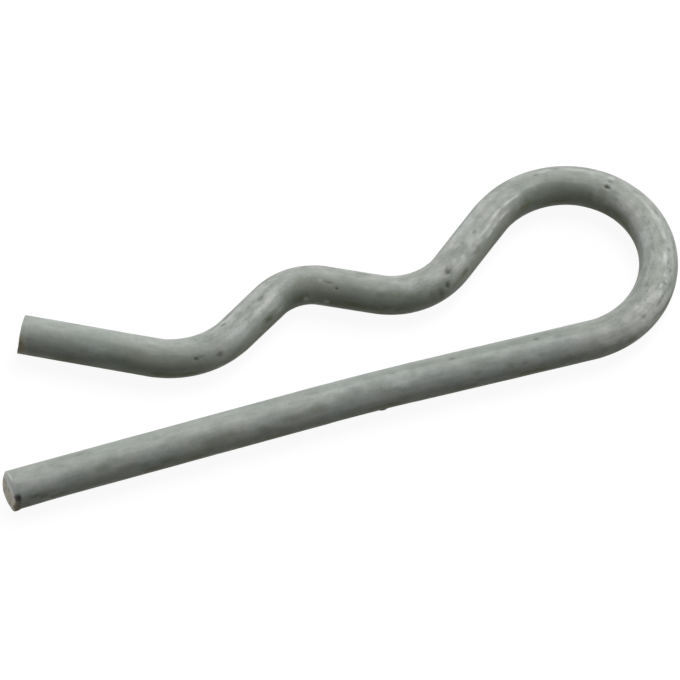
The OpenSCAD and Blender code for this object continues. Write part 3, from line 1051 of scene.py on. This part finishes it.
def make_wire_material(finish):
    """Weathered zinc with drawing lines, pits, scuffs and dirt, with painted shade and painted highlights,
    and bare steel on the cut faces.
    """
    material = bpy.data.materials.new("weathered_zinc_wire_and_painted_light")
    nodes = empty_nodes(material)
    place = nodes.scaled(attribute(nodes, "wire_place", "Vector"), 1 / MM)
    pitted, scuffed_and_highlit, smeared = nodes.split(attribute(nodes, "mark_tone", "Vector"))
    rubbed, torn, tarnished_and_shaded = nodes.split(attribute(nodes, "mark_skin", "Vector"))
    flecks = pattern(nodes, place, "dull_flecks")
    crazing = nodes.weighed(pattern(nodes, place, "bright_streaks"), 0.4, flecks, 0.6)

    # The skin, and the bare steel of cuts and burrs
    colour, height, mottle = zinc_skin(nodes, place, attribute(nodes, "worked", "Fac"), finish)
    colour = rubbed_skin(nodes, colour, crazing, rubbed, finish)
    colour, grime_and_shade = soiled_and_shaded_skin(nodes, colour, place, mottle, tarnished_and_shaded, smeared, finish)
    cut, coat_and_painted_light = cut_shares(nodes, place, mottle)
    bare = nodes.higher(cut, torn)
    colour = nodes.blend(bare, colour, filmed_steel(nodes, place, smeared, finish))

    # Scuffs, painted highlights and pits
    broken = nodes.ramp(crazing, 0.3, 0.7, -0.35, 0.35)
    scuff_and_highlight = nodes.plus(scuffed_and_highlit, nodes.times(broken, nodes.ramp(scuffed_and_highlit, 0.0, 0.3)))
    # On the cut faces the coat that the blade smeared over takes the light colour of scuffs: partly fresh
    # zinc, partly painted light on the rounded rim
    scuff_and_highlight = nodes.higher(nodes.ramp(scuff_and_highlight, 0.1, 1.0), coat_and_painted_light)
    colour = nodes.blend(nodes.times(scuff_and_highlight, SCUFF_AND_HIGHLIGHT_COVER), colour, opaque(finish.scuff_and_highlight))
    pit = nodes.times(pitted, nodes.ramp(flecks, 0.3, 0.6, 1.15, 0.75))
    colour = nodes.blend(nodes.times(pit, PIT_COVER, clamp=True), colour, opaque(finish.pit))

    # Sheen and relief
    smooth, dull = SKIN_ROUGHNESS
    roughness = nodes.ramp(mottle, 0.3, 0.7, dull, smooth)
    roughness = nodes.blend_value(scuff_and_highlight, roughness, SCUFF_ROUGHNESS)
    roughness = nodes.blend_value(nodes.higher(pit, grime_and_shade), roughness, DIRT_ROUGHNESS)
    metallic = nodes.blend_value(scuff_and_highlight, SKIN_METALLIC, SCUFF_METALLIC)
    metallic = nodes.blend_value(bare, metallic, STEEL_METALLIC)
    height = nodes.plus(height, nodes.times(crazing, rubbed))
    height = nodes.minus(height, nodes.times(pit, PIT_RELIEF))
    bump = nodes.add("ShaderNodeBump", {
        "Height": height, "Strength": RELIEF_STRENGTH, "Distance": RELIEF_HEIGHT})

    shader = nodes.add("ShaderNodeBsdfPrincipled", {
        "Base Color": colour, "Roughness": roughness, "Metallic": metallic, "Normal": bump.outputs[0],
        "Specular IOR Level": SPECULAR})
    nodes.add("ShaderNodeOutputMaterial", {"Surface": shader.outputs[0]})
    return material


def seen_or_lit(nodes, seen, lit):
    """One shader where the camera or a gloss sees it, and another where it only carries light."""
    ray = nodes.add("ShaderNodeLightPath").outputs
    looked_at = nodes.higher(ray["Is Camera Ray"], ray["Is Glossy Ray"])
    looked_at = nodes.higher(looked_at, ray["Is Transmission Ray"])
    mixed = nodes.add("ShaderNodeMixShader", {0: looked_at, 1: lit.outputs[0], 2: seen.outputs[0]})
    return mixed.outputs[0]


def make_floor_material():
    """White paper that takes a soft shadow, and throws only a little light back."""
    shadow_grey = (0.12, 0.12, 0.12, 1.0)
    paper_glow = 0.93
    thrown_back = (0.08, 0.08, 0.06, 1.0)
    material = bpy.data.materials.new("pale_floor_paper")
    nodes = empty_nodes(material)
    paper = nodes.add("ShaderNodeBsdfDiffuse", {"Color": shadow_grey})
    glow = nodes.add("ShaderNodeEmission", {"Color": WHITE, "Strength": paper_glow})
    white = nodes.add("ShaderNodeAddShader", {0: paper.outputs[0], 1: glow.outputs[0]})
    dim = nodes.add("ShaderNodeBsdfDiffuse", {"Color": thrown_back})
    nodes.add("ShaderNodeOutputMaterial", {"Surface": seen_or_lit(nodes, white, dim)})
    return material


# Studio

# Each lamp: name, direction round the clip anticlockwise from +X and height above the floor in degrees,
# and the level at which a white card facing it renders
LAMPS = [
    ("high_softbox", 45, 64, 0.49),
    ("rear_softbox", 45, 38, 0.24),
    ("left_fill", 135, 12, 0.32),
    ("right_fill", 0, 12, 0.27),
    ("front_fill", 270, 12, 0.04),
]
LAMP_DISTANCE = 1.5
LAMP_DIAMETER = 0.9


def lamp_watts(level):
    """Power at which a lamp lights a white card that faces it to the level."""
    spread = 1 + (LAMP_DIAMETER / 2 / LAMP_DISTANCE) ** 2
    return level * math.pi ** 2 * LAMP_DISTANCE ** 2 * spread


def direction(azimuth, elevation):
    """Unit vector at an angle anticlockwise from +X and a height above the floor."""
    flat = math.cos(elevation)
    return Vector((flat * math.cos(azimuth), flat * math.sin(azimuth), math.sin(elevation)))


def aimed_object(name, data, place, towards):
    """A lamp or a camera at a place, turned towards a point."""
    made = add_object(name, data)
    made.location = place
    made.rotation_mode = "QUATERNION"
    made.rotation_quaternion = (towards - place).to_track_quat("-Z", "Y")
    return made


def make_lamps():
    """Soft round lamps that the camera doesn't see, all aimed at the middle of the floor."""
    for name, azimuth, elevation, level in LAMPS:
        light = bpy.data.lights.new(name, "AREA")
        light.shape = "DISK"
        light.size = LAMP_DIAMETER
        light.energy = lamp_watts(level)
        place = LAMP_DISTANCE * direction(math.radians(azimuth), math.radians(elevation))
        aimed_object(name, light, place, Vector()).visible_camera = False


def make_camera(studio):
    """A camera so far off that its view is nearly parallel."""
    clip_span = 100
    camera = bpy.data.cameras.new("camera")
    camera.lens = studio.lens
    distance = studio.picture_width * studio.lens / camera.sensor_width
    camera.clip_start = distance / clip_span
    camera.clip_end = distance * clip_span
    back = direction(studio.azimuth - math.pi / 2, studio.elevation)
    aim = Vector(studio.aim)
    bpy.context.scene.camera = aimed_object("camera", camera, aim + distance * back, aim)


def make_floor(studio):
    half = studio.floor_size / 2
    mesh = bpy.data.meshes.new("floor")
    corners = [(-half, -half, 0), (half, -half, 0), (half, half, 0), (-half, half, 0)]
    mesh.from_pydata(corners, [], [(0, 1, 2, 3)])
    mesh.materials.append(make_floor_material())
    floor = add_object("floor", mesh)


def make_world():
    """White where it is seen, and a low even light where it only lights."""
    even_light = 0.02
    world = bpy.data.worlds.new("studio")
    nodes = empty_nodes(world)
    lit = nodes.add("ShaderNodeBackground", {"Color": WHITE, "Strength": even_light})
    seen = nodes.add("ShaderNodeBackground", {"Color": WHITE, "Strength": 1.0})
    nodes.add("ShaderNodeOutputWorld", {"Surface": seen_or_lit(nodes, seen, lit)})
    bpy.context.scene.world = world


# Operators

class RCLIP_OT_make_wire(bpy.types.Operator):
    """Sweep the finished wire, and let it stand for the plain one"""

    bl_idname = "rclip.make_wire"
    bl_label = "Make the Wire"

    def execute(self, context):
        scene = context.scene
        wire = scene.rclip_wire
        path = make_path(scene.rclip_bends, wire)
        marks = make_marks(scene.rclip_bends, wire)
        finished = apply_tree(path, "finished_wire", build_sweep_tree(), {
            **{titled(key): getattr(wire, key) for key in SWEEP_SIZES},
            "Sides": wire.sides,
            "Wire Radius": wire.diameter / 2,
            "Marks": marks,
            "Seed": wire.seed,
            "Material": make_wire_material(scene.rclip_finish),
        })
        if not finished.data.polygons:
            raise RuntimeError("the sweep made no faces")
        for helper in (path, marks):
            bpy.data.objects.remove(helper)
        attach(finished, "root")
        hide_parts("clip_wire")
        return {"FINISHED"}


class RCLIP_OT_make_studio(bpy.types.Operator):
    """Set up the floor, the lamps, the world and the camera"""

    bl_idname = "rclip.make_studio"
    bl_label = "Make the Studio"

    def execute(self, context):
        scene = context.scene
        make_floor(scene.rclip_studio)
        make_lamps()
        make_world()
        make_camera(scene.rclip_studio)
        scene.view_settings.view_transform = "Standard"
        return {"FINISHED"}


class RCLIP_PT_panel(bpy.types.Panel):
    """Lists the operators and their sizes"""

    bl_label = "Hitch R Clip Pin"
    bl_idname = "RCLIP_PT_panel"
    bl_space_type = "VIEW_3D"
    bl_region_type = "UI"
    bl_category = "R Clip"

    def draw(self, context):
        layout = self.layout
        for operator in OPERATORS:
            layout.operator(operator.bl_idname)
        for label, key, _ in GROUPS:
            box = layout.box()
            box.label(text=label)
            group = getattr(context.scene, key)
            for name in group.__annotations__:
                box.prop(group, name)


GROUPS = [
    ("Bends", "rclip_bends", RCLIP_PG_bends),
    ("Wire", "rclip_wire", RCLIP_PG_wire),
    ("Finish", "rclip_finish", RCLIP_PG_finish),
    ("Studio", "rclip_studio", RCLIP_PG_studio),
]
OPERATORS = [RCLIP_OT_make_wire, RCLIP_OT_make_studio]
CLASSES = [*(group for _, _, group in GROUPS), *OPERATORS, RCLIP_PT_panel]


def register():
    for cls in CLASSES:
        bpy.utils.register_class(cls)
    for _, key, group in GROUPS:
        setattr(bpy.types.Scene, key, bpy.props.PointerProperty(type=group))


def unregister():
    for _, key, _ in GROUPS:
        delattr(bpy.types.Scene, key)
    for cls in reversed(CLASSES):
        bpy.utils.unregister_class(cls)


def main():
    register()
    bpy.ops.rclip.make_wire()
    bpy.ops.rclip.make_studio()


if __name__ == "__main__":
    main()
